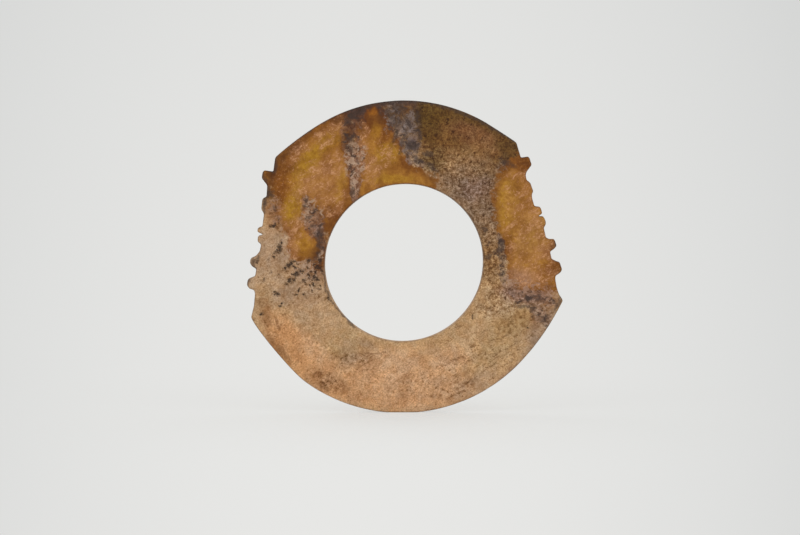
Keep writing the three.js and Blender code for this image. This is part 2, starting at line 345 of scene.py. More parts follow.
# Murky veins
VEINS = [
    [(-18.6, 75, 5), (-20.4, 67, 4), (-24, 62, 3.2), (-23.6, 53, 4), (-22.2, 46, 3.6),
     (-22.2, 38, 2.2), (-22, 28, 1.8)],
    [(-3, 76, 9), (-0.6, 67, 6.4), (1.6, 60, 5.4), (3.4, 53, 4), (4.4, 47, 2.4), (8, 44.6, 1.2)],
    [(-44, 28, 1.8), (-42, 22, 4), (-40, 17, 3.6), (-37.4, 12, 2.4), (-36, 7, 1.6)],
    [(41.6, 14, 0.5), (43, 9, 1.6), (44.4, 2, 1.6), (43.6, -6, 1.4)],
    [(49, -13, 1.2), (54, -15.4, 3), (60, -16.6, 3), (67, -18.6, 1.8)],
    [(55, -17, 2), (59, -23, 2.4), (64, -28, 2)],
]

# Dark lines painted along the rim, and one along the lower left of the bore
RIM_DARK_LINES = [
    [(-62.6, 37, 0.8), (-61.8, 33, 1.2), (-62.8, 27, 1), (-63, 22, 0.6)],
    [(-57.4, 49, 0.7), (-58.4, 45, 0.9), (-59, 41, 1)],
    [(-64, 41, 0.8), (-63, 36, 0.9)],
    [(-66.5, 1.5, 0.6), (-69, 0, 0.8), (-67.4, -2.2, 0.6)],
    [(-69.8, -7, 0.7), (-70.6, -10, 0.8)],
    [(-50, 55, 0.8), (-40, 61.2, 0.6), (-28, 67.4, 0.9), (-18, 71, 1.2), (0, 73, 1.4),
     (16, 71.4, 1), (30, 66.6, 0.8), (44, 58, 0.9), (50.4, 54.4, 0.8)],
    [(68, 10, 1), (68.4, 7.4, 0.8)],
    [(70.8, -17, 1), (67, -23, 0.8)],
    [(-36, -5, 0.5), (-34.8, -11, 0.5), (-32.4, -17, 0.6), (-28, -23, 0.4), (-22, -29, 0.3)],
]

# The darkest places, in the veins and by the edges
MURK_BLOTS = [
    (4.2, 52.6, 3, 1.6, 0), (-3, 63, 4, 1.4, 70), (0, 55, 4, 1, 60), (-19, 68, 3, 1.6, 40),
    (-24.6, 63.4, 2.4, 1, 10), (-24, 52, 1.4, 2, 0), (-24, 57, 1.6, 1.2, 90),
    (-23.6, 43, 1.6, 0.7, 80), (-20.8, 46, 2, 0.6, 90), (-23.4, 32, 2, 0.8, 80),
    (-42.6, 20.4, 1.8, 1, 40), (-45, 25.4, 1.4, 0.8, 60), (-38.2, 12, 2.2, 1.4, 70),
    (-40.4, 24, 1.2, 0.8, 20), (-37, 17, 1, 0.7, 40), (-40.4, 16.6, 1.2, 0.7, 0),
    (-60.6, 30, 1.6, 1, 0), (-58.6, 24, 1, 1.4, 20), (-57.6, 19, 0.8, 1, 0),
    (-60.6, 31.6, 1.6, 1, 30), (-38, 8.6, 1.2, 2, 0), (-38.6, 4, 1.2, 1.6, 0),
    (-41, 1.6, 2, 0.8, 20), (-63, 28, 0.8, 2, 0),
    (43.4, 6, 1.4, 2.4, 0), (50.6, -18, 1.6, 0.8, 30), (-2, 69, 3, 2, 0),
    (43.4, 9, 1.4, 1.2, 0), (42, 5, 2.2, 1.4, 60), (45, -8, 2, 0.8, 60), (43.6, -5, 1.2, 0.8, 0),
    (57, -15.8, 3, 1.1, 12), (60.4, -16.6, 2.2, 0.9, 20), (54, -20, 4, 0.7, 0),
    (57.4, -22.4, 1.8, 0.9, 40), (62.6, -26.4, 2, 0.9, 50), (-6, 67, 3, 1.4, -40),
    (6, 47, 2, 1.2, -40), (-37.4, 1, 1.6, 1, 80), (0, 71.4, 10, 1.2, 0), (12, 43, 4, 1, -40),
    (11, 49, 2.4, 1, -20), (46, 45, 4, 1.4, -20), (39, 3, 2, 1, 40), (37, 9, 1.2, 0.8, 60),
    (36, 15, 1.2, 0.8, 0), (7, 65, 1, 3, 0), (8, 57, 1, 2.4, 0),
    (-3.4, 57.4, 3.4, 1, 62), (-0.8, 51.6, 3, 0.9, 60), (-5.6, 61.6, 2.4, 0.8, 64),
    (-22, 66, 2.4, 1.8, 0), (2.4, 64, 0.8, 2, 20), (1.6, 48.4, 1.6, 0.8, -40),
]

# Pale curds in and beside the veins, and along the clear stone's borders
CURD_BLOTS = [
    (-22.6, 52, 4, 3.4, 92), (-22, 47, 9, 4.6, 92), (-22.2, 38, 7, 1.8, 90), (-43, 24, 6, 4, 60),
    (-36, 23, 3, 2, 40), (-4, 67, 8, 3, 70), (1, 58, 6, 2.6, 80), (3, 48, 4, 2.4, -40),
    (4, 66, 2, 3, 0), (-37, 2, 3.6, 1.4, 90), (55, -11, 9, 3, -10), (62, -21, 5, 3, 50),
    (-53, 3, 3, 2, 40), (-55.6, 11, 1.6, 4, 20), (-59, 22, 2.4, 7, 0), (-44, -3, 7, 4, 10),
    (46.4, -8, 2, 4, 0), (66, -14, 3, 2, 0),
]

# The hearts of the veins, which hide what lies under them
FILL_BLOTS = [
    (2, 60.6, 4, 3.4, 0), (4, 53, 3, 3, 0), (-21, 68, 6, 2.6, 20), (-39, 14, 3, 2, 60),
    (0, 72, 12, 2, 0),
]

# Pink flecks on the clear stone, in clumps and fine
FLECK_BLOTS = [
    (-38, 38, 15, 8, 42), (-34, 58, 12, 4, 32), (-45, 17, 8, 7, 0), (-32, 27, 8, 6, 50),
    (-15, 42, 5, 7, 0), (-51, 6, 4, 8, 0), (-48, 50, 8, 3, 44), (-8, 48, 4, 4, 0),
    (-19, 50, 3, 12, 0), (-56, 20, 3, 6, 0), (56, -6, 12, 7, 0), (63, 12, 13, 4, 100),
    (57, 34, 9, 3, 100), (49, 40, 4, 2, 0), (-17, 60, 2, 4, 0), (52, 24, 5, 1.4, 35),
    (50, 9, 5, 2, 40), (56, 16, 6, 1.6, 35), (60, 24, 5, 1.6, 35), (58, 2, 6, 1.6, 35),
    (54, 32, 5, 1.6, 35), (62, 8, 5, 1.6, 35), (47, 34, 3, 1.4, 40), (48, 16, 4, 1.4, 35),
]
FINE_FLECK_BLOTS = [
    (52, 18, 26, 9, 98), (60, 0, 10, 10, 0), (-50, 36, 12, 8, 50), (-8, 52, 8, 8, 0),
    (-49, 7, 5, 8, 0),
]

# Black specks, one by one
SPECK_BLOTS = [
    (-60.4, 15.2, 1.5, 0.9, 10), (-59, 16.2, 0.8, 0.5, 30), (-58.2, 4.2, 1.6, 0.9, 30),
    (-56.2, 6.2, 1.7, 0.8, 58), (-55.4, 8, 0.7, 0.6, 60), (-59.8, 1.7, 0.6, 0.6, 0),
    (-61.9, 0.4, 0.6, 0.6, 0), (-66.9, 0.6, 0.4, 0.4, 0), (-59.3, -4.3, 0.6, 0.6, 0),
    (-56.4, -5.5, 0.6, 0.6, 0), (-62.7, -7.2, 0.6, 0.6, 0), (-53, -3.2, 1, 0.6, 60),
    (-50.6, -1.2, 2, 1, 30), (-49, 0.2, 1, 0.6, 0), (-47.8, -4.4, 2.2, 0.8, 52),
    (-50.2, -8, 1.6, 0.7, 48), (-52.4, -9.7, 0.8, 0.5, 40), (-45.2, -7.6, 1.1, 0.7, 40),
    (-44.4, -9, 0.7, 0.9, 0), (-45.8, -3, 1, 0.6, 50), (-40.6, -6, 1.7, 0.9, -30),
    (-39.4, -7.6, 1, 0.8, 0), (-41.6, -7.8, 0.8, 0.6, 0), (-38.6, -1.6, 1.7, 1, 20),
    (-40.2, 0, 0.8, 0.6, 0), (-56.6, -13.4, 1.7, 0.8, -10), (-57.8, -12.6, 0.8, 0.5, 0),
    (-53.9, -17.8, 0.6, 0.7, 0), (-54.7, -19.6, 1, 0.6, 20), (30.6, -24.4, 0.6, 0.5, 60),
    (54, -29.4, 0.6, 0.5, 0),
    (-42.6, 1, 1.1, 0.6, 40), (-37.6, -3, 0.8, 0.6, 0), (-43.4, -1.6, 0.7, 0.6, 0),
    (-39.6, -3.6, 1, 0.6, 70), (-42, -3.2, 0.8, 0.5, 20), (-37.8, 1.4, 1, 0.7, 60),
    (-33.6, -15.6, 1.2, 0.5, -40), (-38, -7.4, 0.6, 0.5, 20), (-37, -9.6, 0.5, 0.4, 0),
    (-43.4, -6.4, 0.6, 0.4, 50), (-47, -9.6, 0.6, 0.4, 30), (-47.6, -0.4, 0.5, 0.4, 40),
    (-40.8, -9.6, 0.6, 0.4, 0), (-48.6, -2.4, 0.7, 0.4, 60), (-42.6, -10, 0.5, 0.4, 0),
    (-63, -21.8, 0.6, 0.6, 0), (-43, -4.4, 1.2, 0.6, 50), (-48.4, -14.6, 0.8, 0.5, 20),
    (-44.6, -14.4, 0.8, 0.6, 0), (-46.8, -12.6, 0.9, 0.4, 40), (-41.6, -12.4, 0.7, 0.5, 0),
    (-38.2, -11.4, 0.8, 0.5, 0), (-49.6, -5.6, 0.7, 0.5, 50), (-36.6, -4, 0.5, 0.8, 0),
]

# Short dark scratches
SCRATCHES = [
    [(16, -47.4, 0.3), (22, -44.4, 0.4), (28, -42, 0.3)],
    [(27, -45.4, 0.2), (33, -41.6, 0.3)],
    [(-55.6, -30, 0.5), (-57.6, -24.6, 0.6)],
    [(46.6, -42.4, 0.4), (49.4, -40.6, 0.5)],
    [(36.6, -22, 0.3), (40.4, -19.4, 0.3)],
    [(40, -42, 0.3), (46, -38.6, 0.3), (50, -35, 0.3)],
    [(25, -56, 0.3), (30, -53.4, 0.4), (33, -51, 0.2)],
    [(20, -60.4, 0.3), (27, -57.6, 0.4)],
    [(36, -31, 0.3), (41, -27.4, 0.3)],
    [(-8, -40, 0.3), (-20, -41, 0.4)],
    [(44, -47, 0.4), (50, -43.4, 0.4)],
    [(29.6, -37.8, 0.5), (32.4, -36.2, 0.4)],
    [(22.8, -29.4, 0.5), (25.2, -28.4, 0.4)],
    [(42, -34, 0.3), (47, -31, 0.3)],
    [(34, -49.6, 0.3), (41, -45, 0.3)],
]

# Where the altered stone is freckled, grainy, peppery and streaked
FRECKLE_BLOTS = [
    (-46, -6, 11, 8, 0), (-40, -2, 5, 6, 0), (-43, -15, 12, 3, 0), (-40, 3, 5, 6, 0),
    (-58, 18, 3, 8, 0), (-50, 2, 6, 4, 0), (46, -16, 14, 6, 10), (-34, -53.4, 10, 5, -30),
    (-23, -43, 9, 4, -10), (38, 6, 5, 12, 0), (52, -26, 14, 5, 30), (24, -56, 12, 5, 20),
    (32, 34, 16, 10, -50), (9, 45, 6, 3, -35), (16, 52, 10, 8, 0),
]
GRAIN_BLOTS = [
    (28, 50, 42, 24, -30), (38, 10, 26, 12, 95), (46, -17, 16, 6, 15), (-58, 22, 3, 8, 0),
    (-34, -53.4, 8, 3, -30), (-22, -43.6, 6, 2, -10),
]
PEPPER_BLOTS = [
    (31, 33, 17, 10, -52), (38, 8, 7, 16, 0), (10, 44, 8, 3, -35), (45, 43, 6, 4, 0),
    (47, -12, 10, 3, 15), (16, 46, 8, 5, 0),
]
STREAK_BLOTS = [
    (36, -38, 32, 16, 42), (58, -24, 14, 10, 60), (-18, -45, 14, 7, -10), (-30, -12, 12, 9, 0),
    (12, -52, 20, 8, 0),
]

# The names under which the piece keeps its veins and blots, for its material to read
VEIN_KINDS = {"vein": VEINS, "rim": RIM_DARK_LINES, "scratch": SCRATCHES}
BLOT_KINDS = {
    "fill": FILL_BLOTS,
    "murk": MURK_BLOTS,
    "curd": CURD_BLOTS,
    "fleck": FLECK_BLOTS,
    "speck": SPECK_BLOTS,
    "freckle": FRECKLE_BLOTS,
    "fine_fleck": FINE_FLECK_BLOTS,
    "grain": GRAIN_BLOTS,
    "pepper": PEPPER_BLOTS,
    "streak": STREAK_BLOTS,
}


def smooth(share):
    """A share from 0 to 1, eased at both ends."""
    return share * share * (3 - 2 * share)


def in_blot(across, up, x, z, length, width, tilt):
    """1 well inside a blot, a half on its edge and 0 well outside."""
    turn = math.radians(tilt)
    along = (across - x) * math.cos(turn) + (up - z) * math.sin(turn)
    beside = (up - z) * math.cos(turn) - (across - x) * math.sin(turn)
    return smooth((FADE_END - np.hypot(along / length, beside / width)).clip(0, 1))


def blots(across, up, shapes):
    """The same for many blots, where the deepest counts."""
    deepest = np.zeros_like(across)
    for shape in shapes:
        deepest = np.maximum(deepest, in_blot(across, up, *shape))
    return deepest


def washed(across, up, base, washes):
    """A colour for each point: the base with the washes painted over it."""
    colours = np.tile(base, (len(across), 1))
    for colour, *shape, strength in washes:
        share = strength * in_blot(across, up, *shape)
        colours += share[:, None] * (np.array(colour) - colours)
    return colours


def from_run(across, up, start, end):
    """Each point's distance from a straight run, and how far along the run it lies."""
    run = np.subtract(end, start)
    share = ((across - start[0]) * run[0] + (up - start[1]) * run[1]) / (run @ run)
    share = share.clip(0, 1)
    return np.hypot(across - start[0] - share * run[0], up - start[1] - share * run[1]), share


def veins(across, up, rows):
    """As blots, for veins."""
    deepest = np.zeros_like(across)
    for row in rows:
        for (x0, z0, width0), (x1, z1, width1) in zip(row, row[1:]):
            away, share = from_run(across, up, (x0, z0), (x1, z1))
            width = width0 + share * (width1 - width0)
            deepest = np.maximum(deepest, (FADE_END - away / width).clip(0, 1))
    return deepest


def fields(across, up, areas, softness):
    """1 inside any of the areas, 0 outside, with a slope of this width on their edges."""
    deepest = np.zeros_like(across)
    for corners in areas:
        inside = np.zeros(across.shape, bool)
        nearest = np.full(across.shape, np.inf)
        for start, end in zip(corners, corners[1:] + corners[:1]):
            nearest = np.minimum(nearest, from_run(across, up, start, end)[0])
            if start[1] == end[1]:
                continue
            crosses = (start[1] > up) != (end[1] > up)
            at = start[0] + (up - start[1]) * (end[0] - start[0]) / (end[1] - start[1])
            inside ^= crosses & (across < at)
        depth = np.where(inside, nearest, -nearest) / softness + 0.5
        deepest = np.maximum(deepest, depth.clip(0, 1))
    return deepest


def only(piece):
    """Selects this piece alone."""
    bpy.ops.object.select_all(action="DESELECT")
    piece.select_set(True)
    bpy.context.view_layer.objects.active = piece


def places_of(piece):
    """Across, towards the back and up from the bore's centre, in millimetres."""
    flat = np.empty(len(piece.data.vertices) * 3, np.float32)
    piece.data.vertices.foreach_get("co", flat)
    return flat.reshape(-1, 3) / MM - (0, 0, BORE_HEIGHT)


def move_to(piece, places):
    """Puts the piece's points at such places."""
    metres = (places + (0, 0, BORE_HEIGHT)) * MM
    piece.data.vertices.foreach_set("co", metres.astype(np.float32).ravel())
    piece.data.update()


def lumps(places, size):
    """Smooth noise from about -1 to 1, with lumps of this size, at each place."""
    return np.array([noise.noise(place) for place in (places / size).tolist()])


def swirls(places, size):
    """Three such noises at each place, each from its own part of the noise."""
    return np.stack([lumps(places + size * shift, size) for shift in SWIRL_SHIFTS], axis=1)


def fine_stone():
    """The ring as one fine skin on the solid's own surface, worn a little uneven."""
    only(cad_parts["jade_disc"])
    bpy.ops.object.duplicate()
    stone = bpy.context.active_object
    stone.name = stone.data.name = "jade_ring"
    stone.data.materials.clear()
    only(stone)
    bpy.ops.object.mode_set(mode="EDIT")
    bpy.ops.mesh.select_all(action="SELECT")
    bpy.ops.mesh.remove_doubles(threshold=SAME_PLACE * MM)
    bpy.ops.mesh.dissolve_limited(angle_limit=FLAT)
    for low, high, cut in zip(*cad_box, np.eye(3)):
        for place in np.arange(low, high, GRID * MM)[1:]:
            bpy.ops.mesh.select_all(action="SELECT")
            bpy.ops.mesh.bisect(plane_co=cut * place, plane_no=cut)
    bpy.ops.mesh.select_all(action="SELECT")
    bpy.ops.mesh.subdivide(number_cuts=1)
    bpy.ops.object.mode_set(mode="OBJECT")

    places = places_of(stone)
    normals = np.array([vertex.normal[:] for vertex in stone.data.vertices])
    worn = (SWELL_DEPTH * lumps(places, SWELL).clip(0, 1)
            + RIPPLE_DEPTH * lumps(places, RIPPLE).clip(0, 1))
    move_to(stone, places - normals * worn[:, None])
    for face in stone.data.polygons:
        face.use_smooth = True
    return stone


def noted(piece, name, values):
    """Keeps one number for each point of a piece, for its material to read."""
    kept = piece.data.attributes.new(name, "FLOAT", "POINT")
    kept.data.foreach_set("value", values.astype(np.float32))


def tinted(piece, name, colours):
    """Keeps one colour for each point of a piece."""
    kept = piece.data.attributes.new(name, "FLOAT_COLOR", "POINT")
    kept.data.foreach_set("color", colours.astype(np.float32).ravel())


def edges(piece, places):
    """How much each point is darkened by an edge, from 0 on the faces."""
    facing = np.abs([vertex.normal.y for vertex in piece.data.vertices])
    # The edges are painted darker by how far the surface turns from the face, unevenly
    edge_darkness = EDGE_DARKNESS + EDGE_UNEVEN * lumps(places, EDGE_LUMP)
    edge = smooth(((1 - facing) * EDGE_REACH).clip(0, 1)) * edge_darkness
    at_bore = np.hypot(places[:, 0], places[:, 2]) < BORE_EDGE
    return np.where(at_bore, BORE_EDGE_SHARE * edge, edge)


def paint_stone(piece):
    """Lays the colours and the kinds of stone on the piece. They drift on their way through."""
    places = places_of(piece)
    depth = (places[:, 1:2] / HALF_THICKNESS + 1) / 2
    wandering = (places + BROAD_REACH * swirls(places, BROAD_SWIRL)
                 + TIGHT_REACH * swirls(places, TIGHT_SWIRL)
                 + THROUGH_REACH * depth * swirls(places, THROUGH_SWIRL))
    across, up = wandering[:, 0], wandering[:, 2]

    amber = washed(across, up, AMBER, AMBER_WASHES)
    shallow = 2 - 2 * fields(across, up, AMBER_FIELDS, AMBER_RIM).clip(0.5, 1)
    amber += AMBER_RIM_STRENGTH * smooth(shallow)[:, None] * (np.array(RUST) - amber)
    tinted(piece, "body_tint", washed(across, up, TAN, BODY_WASHES))
    tinted(piece, "amber_tint", amber)
    tinted(piece, "vein_tint", washed(across, up, MAUVE, VEIN_WASHES))
    tinted(piece, "curd_tint", washed(across, up, CURD, CURD_WASHES))

    noted(piece, "amber", fields(across, up, AMBER_FIELDS, AMBER_SOFTNESS))
    for name, rows in VEIN_KINDS.items():
        noted(piece, name, veins(across, up, rows))
    for name, shapes in BLOT_KINDS.items():
        noted(piece, name, blots(across, up, shapes))
    noted(piece, "edge", edges(piece, places))


# The noises that break up the stone: the size of a lump in millimetres, its detail, its
# roughness and its twist
NOISES = {
    "brush": (1.9, 6, 0.9, 0.7),
    "grit": (0.75, 2, 0.8, 0),
    "warmth": (4, 1, 0.6, 0),
    "drift": (5.5, 2, 0.6, 0.5),
    "grain": (1.4, 4, 0.85, 0),
    "pit": (1.6, 2, 0.6, 0),
    "pore": (1.0, 2, 0.5, 0),
    "freckle": (1.5, 3, 0.65, 0),
    "stroke": (0.9, 3, 0.7, 0.3),
    "scratch": (1.0, 4, 0.8, 0),
    "cloud": (5, 4, 0.65, 0),
    "amber_grit": (1.2, 4, 0.8, 0),
    "clump": (3, 4, 0.75, 0.4),
    "dab": (1.5, 4, 0.75, 1.2),
    "fine_fleck": (1.1, 3, 0.7, 0.6),
    "vein_grit": (2.4, 3, 0.75, 0.6),
    "vein_murk": (2.8, 3, 0.7, 0.6),
    "curd": (3, 3, 0.65, 1.1),
    "curd_grit": (1.3, 3, 0.8, 0),
    "amber_border": (3.2, 6, 0.75, 0.3),
    "vein_border": (2, 5, 0.8, 0.4),
    "murk_border": (1.2, 4, 0.75, 0.4),
    "halo_border": (1.6, 4, 0.8, 0.4),
    "core_border": (1.0, 4, 0.8, 0.6),
    "polish": (2, 3, 0.6, 0),
    "bump": (0.9, 3, 0.6, 0),
}

# How the long marks lie: their tilt in degrees, and how many times longer they are
LAYS = {"brush": (35, 1.6), "stroke": (32, 3.6), "clump": (42, 1.7), "dab": (42, 1.4)}

# The levels of its noise between which each mark fades in
LEVELS = {
    "pit": (0.39, 0.32),
    "pore": (0.38, 0.29),
    "freckle": (0.53, 0.6),
    "stroke": (0.44, 0.34),
    "dab": (0.5, 0.6),
    "fine_fleck": (0.56, 0.66),
    "vein_murk": (0.48, 0.39),
    "curd": (0.48, 0.54),
}

# How a noise tears the border of each mask: how far it shifts it, and how soft it leaves it
TEARS = {
    "grain": (0.8, 0.4),
    "pepper": (0.8, 0.4),
    "scratch": (3, 0.4),
    "clump": (3, 0.4),
    "amber": (1.8, 0.2),
    "vein": (3.8, 0.4),
    "curd": (3.4, 0.5),
    "murk": (5, 0.6),
    "rim": (2, 0.6),
    "halo": (4, 0.6),
    "core": (5, 0.4),
}

# How strongly each mark covers what lies under it
STRENGTHS = {
    "pepper": 0.58,
    "scratch": 0.7,
    "clump": 0.4,
    "fine_fleck": 0.5,
    "dab": 0.8,
    "vein_murk": 0.85,
    "curd": 0.85,
    "murk": 0.65,
    "rim": 0.65,
    "halo": 0.75,
    "core": 0.92,
}

# A torn border fades out where its mask falls from this to nothing
MASK_FOOT = 0.2

# Clumps and the cores of specks keep to these shares of their masks. Outside its hearts, a vein
# covers what lies under it by the last share.
CLUMP_REACH = 0.6
CORE_REACH = 0.8
VEIN_COVER = 0.5

# The levels of a noise between which it goes from its shade to its light
SHADE_LEVELS = (0.36, 0.64)
DRIFT_LEVELS = (0.3, 0.7)
PEPPER_LEVELS = (0.4, 0.62)

# The levels of the veins' mask between which the scorch on the clear stone beside them fades in
SCORCH_LEVELS = (0.05, 0.45)

# Tints that a colour is multiplied by, where a noise is low and where it is high
FINE_SHADE = (0.81, 0.767, 0.7, 1)
FINE_LIGHT = (1.11, 1.14, 1.19, 1)
GRIT_SHADE = (0.77, 0.72, 0.64, 1)
GRIT_LIGHT = (1.15, 1.19, 1.27, 1)
GRAIN_SHADE = (0.6, 0.51, 0.41, 1)
GRAIN_LIGHT = (1.27, 1.38, 1.52, 1)
PEPPER_SHADE = (0.56, 0.47, 0.37, 1)
PEPPER_LIGHT = (1.24, 1.33, 1.46, 1)
DRIFT_SHADE = (0.89, 0.86, 0.83, 1)
DRIFT_LIGHT = (1.09, 1.11, 1.13, 1)
WARM = (1.03, 0.99, 0.94, 1)
COOL = (0.98, 1.0, 1.04, 1)
CLOUD_SHADE = (0.77, 0.7, 0.56, 1)
CLOUD_LIGHT = (1.12, 1.15, 1.08, 1)
AMBER_SHADE = (0.86, 0.8, 0.67, 1)
AMBER_LIGHT = (1.12, 1.18, 1.35, 1)

# Tints that it is multiplied by where a mark lies
PIT = (0.45, 0.36, 0.27, 1)
PORE = (0.55, 0.46, 0.36, 1)
STREAK = (0.6, 0.52, 0.42, 1)
HALO = (0.5, 0.42, 0.34, 1)
SCORCH = (0.7, 0.6, 0.55, 1)
# Painted darkening of the edges, by how far the surface turns from the face
EDGE_SHADE = (0.36, 0.33, 0.31, 1)

# Colours of marks
PINK = linear(162, 110, 74)
FLECK = linear(202, 150, 108)
MURK = linear(62, 48, 42)
BLACK = linear(44, 32, 24)

# Finish: the roughness at its least, how much noise adds to it, the gloss, and the bumps'
# strength and depth
POLISH = 0.38
POLISH_SPREAD = 0.2
GLOSS = 0.2
BUMP_STRENGTH = 0.35
BUMP_DEPTH = 0.1


class Paint:
    """A material's nodes, made one after another."""

    def __init__(self, name):
        self.material = bpy.data.materials.new(name)
        self.material.use_nodes = True
        self.nodes = self.material.node_tree.nodes
        self.links = self.material.node_tree.links
        self.shader = self.nodes["Principled BSDF"]
        self.place = self.nodes.new("ShaderNodeTexCoord").outputs["Object"]

    def put(self, socket, value):
        """Links what a socket gives to this socket, or sets this one to a value."""
        if isinstance(value, bpy.types.NodeSocket):
            self.links.new(value, socket)
        else:
            socket.default_value = value

    def read(self, name, output="Fac"):
        """What the piece keeps under this name."""
        node = self.nodes.new("ShaderNodeAttribute")
        node.attribute_name = name
        return node.outputs[output]

    def turned(self, tilt, stretch):
        """Places turned about the disc's axis and stretched along that tilt."""
        node = self.nodes.new("ShaderNodeMapping")
        node.vector_type = "TEXTURE"
        node.inputs["Rotation"].default_value = (0, math.radians(-tilt), 0)
        node.inputs["Scale"].default_value = (stretch, 1, 1)
        self.links.new(self.place, node.inputs["Vector"])
        return node.outputs["Vector"]

    def noise(self, name):
        """One of the stone's noises."""
        size, detail, rough, twist = NOISES[name]
        place = self.turned(*LAYS[name]) if name in LAYS else self.place
        node = self.nodes.new("ShaderNodeTexNoise")
        self.links.new(place, node.inputs["Vector"])
        node.inputs["Scale"].default_value = 1 / (size * MM)
        node.inputs["Detail"].default_value = detail
        node.inputs["Roughness"].default_value = rough
        node.inputs["Distortion"].default_value = twist
        return node.outputs["Fac"]

    def away(self, centre, upward=1.0):
        """Metres from a place, with the height's part counted by this share."""
        moved = self.nodes.new("ShaderNodeMapping")
        self.links.new(self.place, moved.inputs["Vector"])
        moved.inputs["Scale"].default_value = (1, 1, upward)
        moved.inputs["Location"].default_value = (-centre[0], -centre[1], -centre[2] * upward)
        length = self.nodes.new("ShaderNodeVectorMath")
        length.operation = "LENGTH"
        self.links.new(moved.outputs["Vector"], length.inputs[0])
        return length.outputs["Value"]

    def seen(self, share, first, second):
        """The second shader for this share of what the camera sees, the first for all else."""
        sight = self.nodes.new("ShaderNodeLightPath").outputs["Is Camera Ray"]
        blend = self.nodes.new("ShaderNodeMixShader")
        self.put(blend.inputs[0], self.times(share, sight))
        self.put(blend.inputs[1], first)
        self.put(blend.inputs[2], second)
        self.put(self.nodes["Material Output"].inputs["Surface"], blend.outputs["Shader"])

    def math(self, operation, first, second=0.0):
        """What an operation makes of two values."""
        node = self.nodes.new("ShaderNodeMath")
        node.operation = operation
        self.put(node.inputs[0], first)
        self.put(node.inputs[1], second)
        return node.outputs[0]

    def times(self, first, second):
        """One value times another."""
        return self.math("MULTIPLY", first, second)

    def step(self, value, low, high):
        """0 where the value is at low or beyond it, 1 at high or beyond, and smooth between."""
        node = self.nodes.new("ShaderNodeMapRange")
        node.interpolation_type = "SMOOTHSTEP"
        self.put(node.inputs["Value"], value)
        node.inputs["From Min"].default_value = low
        node.inputs["From Max"].default_value = high
        return node.outputs["Result"]

    def spots(self, name):
        """The spots that a noise makes between its levels."""
        return self.step(self.noise(name), *LEVELS[name])

    def ragged(self, name, mask, grain):
        """A mask whose border is torn by noise, in the way that this name has."""
        reach, softness = TEARS[name]
        shift = self.times(self.math("SUBTRACT", grain, 0.5), reach)
        torn = self.step(self.math("ADD", mask, shift), 0.5 - softness, 0.5 + softness)
        return self.times(torn, self.step(mask, 0, MASK_FOOT))

    def torn(self, name, grain):
        """The mask that the piece keeps under this name, torn in that way."""
        return self.ragged(name, self.read(name), grain)

    def vary(self, colour, lump, shade, light, levels=SHADE_LEVELS):
        """A colour times shade where the noise is low, times light where it is high."""
        return self.mix(1.0, colour, self.mix(self.step(lump, *levels), shade, light), "MULTIPLY")

    def mix(self, share, first, second, blend="MIX"):
        """The first colour, blended with the second by this share."""
        node = self.nodes.new("ShaderNodeMix")
        node.data_type = "RGBA"
        node.blend_type = blend
        self.put(node.inputs["Factor"], share)
        self.put(node.inputs[6], first)
        self.put(node.inputs[7], second)
        return node.outputs[2]

    def cover(self, name, mask, under, over, blend="MIX"):
        """Lays one colour over another where the mask is, as strongly as this mark covers."""
        return self.mix(self.times(mask, STRENGTHS[name]), under, over, blend)


def stone_body(p, border):
    """The altered, calcified stone: granular, speckled and streaked."""
    colour = p.vary(p.read("body_tint", "Color"), p.noise("brush"), FINE_SHADE, FINE_LIGHT)
    colour = p.vary(colour, p.noise("grit"), GRIT_SHADE, GRIT_LIGHT)
    colour = p.vary(colour, p.noise("warmth"), WARM, COOL)
    colour = p.vary(colour, p.noise("drift"), DRIFT_SHADE, DRIFT_LIGHT, DRIFT_LEVELS)
    grain = p.noise("grain")
    grainy = p.vary(colour, grain, GRAIN_SHADE, GRAIN_LIGHT)
    grainy = p.mix(p.spots("pit"), grainy, PIT, "MULTIPLY")
    colour = p.mix(p.torn("grain", border), colour, grainy)
    peppery = p.vary(colour, grain, PEPPER_SHADE, PEPPER_LIGHT, PEPPER_LEVELS)
    colour = p.cover("pepper", p.torn("pepper", border), colour, peppery)
    colour = p.mix(p.spots("pore"), colour, PORE, "MULTIPLY")
    colour = p.mix(p.times(p.spots("freckle"), p.read("freckle")), colour, PORE, "MULTIPLY")
    colour = p.mix(p.times(p.spots("stroke"), p.read("streak")), colour, STREAK, "MULTIPLY")
    return p.cover("scratch", p.torn("scratch", p.noise("scratch")), colour, PIT, "MULTIPLY")


def stone_amber(p):
    """The clear stone: clouded with yellow and rust, brushed with curly pink."""
    colour = p.vary(p.read("amber_tint", "Color"), p.noise("cloud"), CLOUD_SHADE, CLOUD_LIGHT)
    colour = p.vary(colour, p.noise("amber_grit"), AMBER_SHADE, AMBER_LIGHT)
    colour = p.mix(p.step(p.read("vein"), *SCORCH_LEVELS), colour, SCORCH, "MULTIPLY")
    clumps = p.ragged("clump", p.times(p.read("fleck"), CLUMP_REACH), p.noise("clump"))
    colour = p.cover("clump", clumps, colour, PINK)
    fine = p.times(p.spots("fine_fleck"), p.read("fine_fleck"))
    colour = p.cover("fine_fleck", fine, colour, FLECK)
    return p.cover("dab", p.times(p.spots("dab"), clumps), colour, FLECK)


def stone_vein(p, ground):
    """The murky stone of the veins, which lets the ground through but in its hearts."""
    cover = p.math("ADD", VEIN_COVER, p.times(p.read("fill"), 1 - VEIN_COVER))
    colour = p.mix(cover, ground, p.read("vein_tint", "Color"))
    colour = p.vary(colour, p.noise("vein_grit"), GRAIN_SHADE, GRAIN_LIGHT)
    return p.cover("vein_murk", p.spots("vein_murk"), colour, MURK)


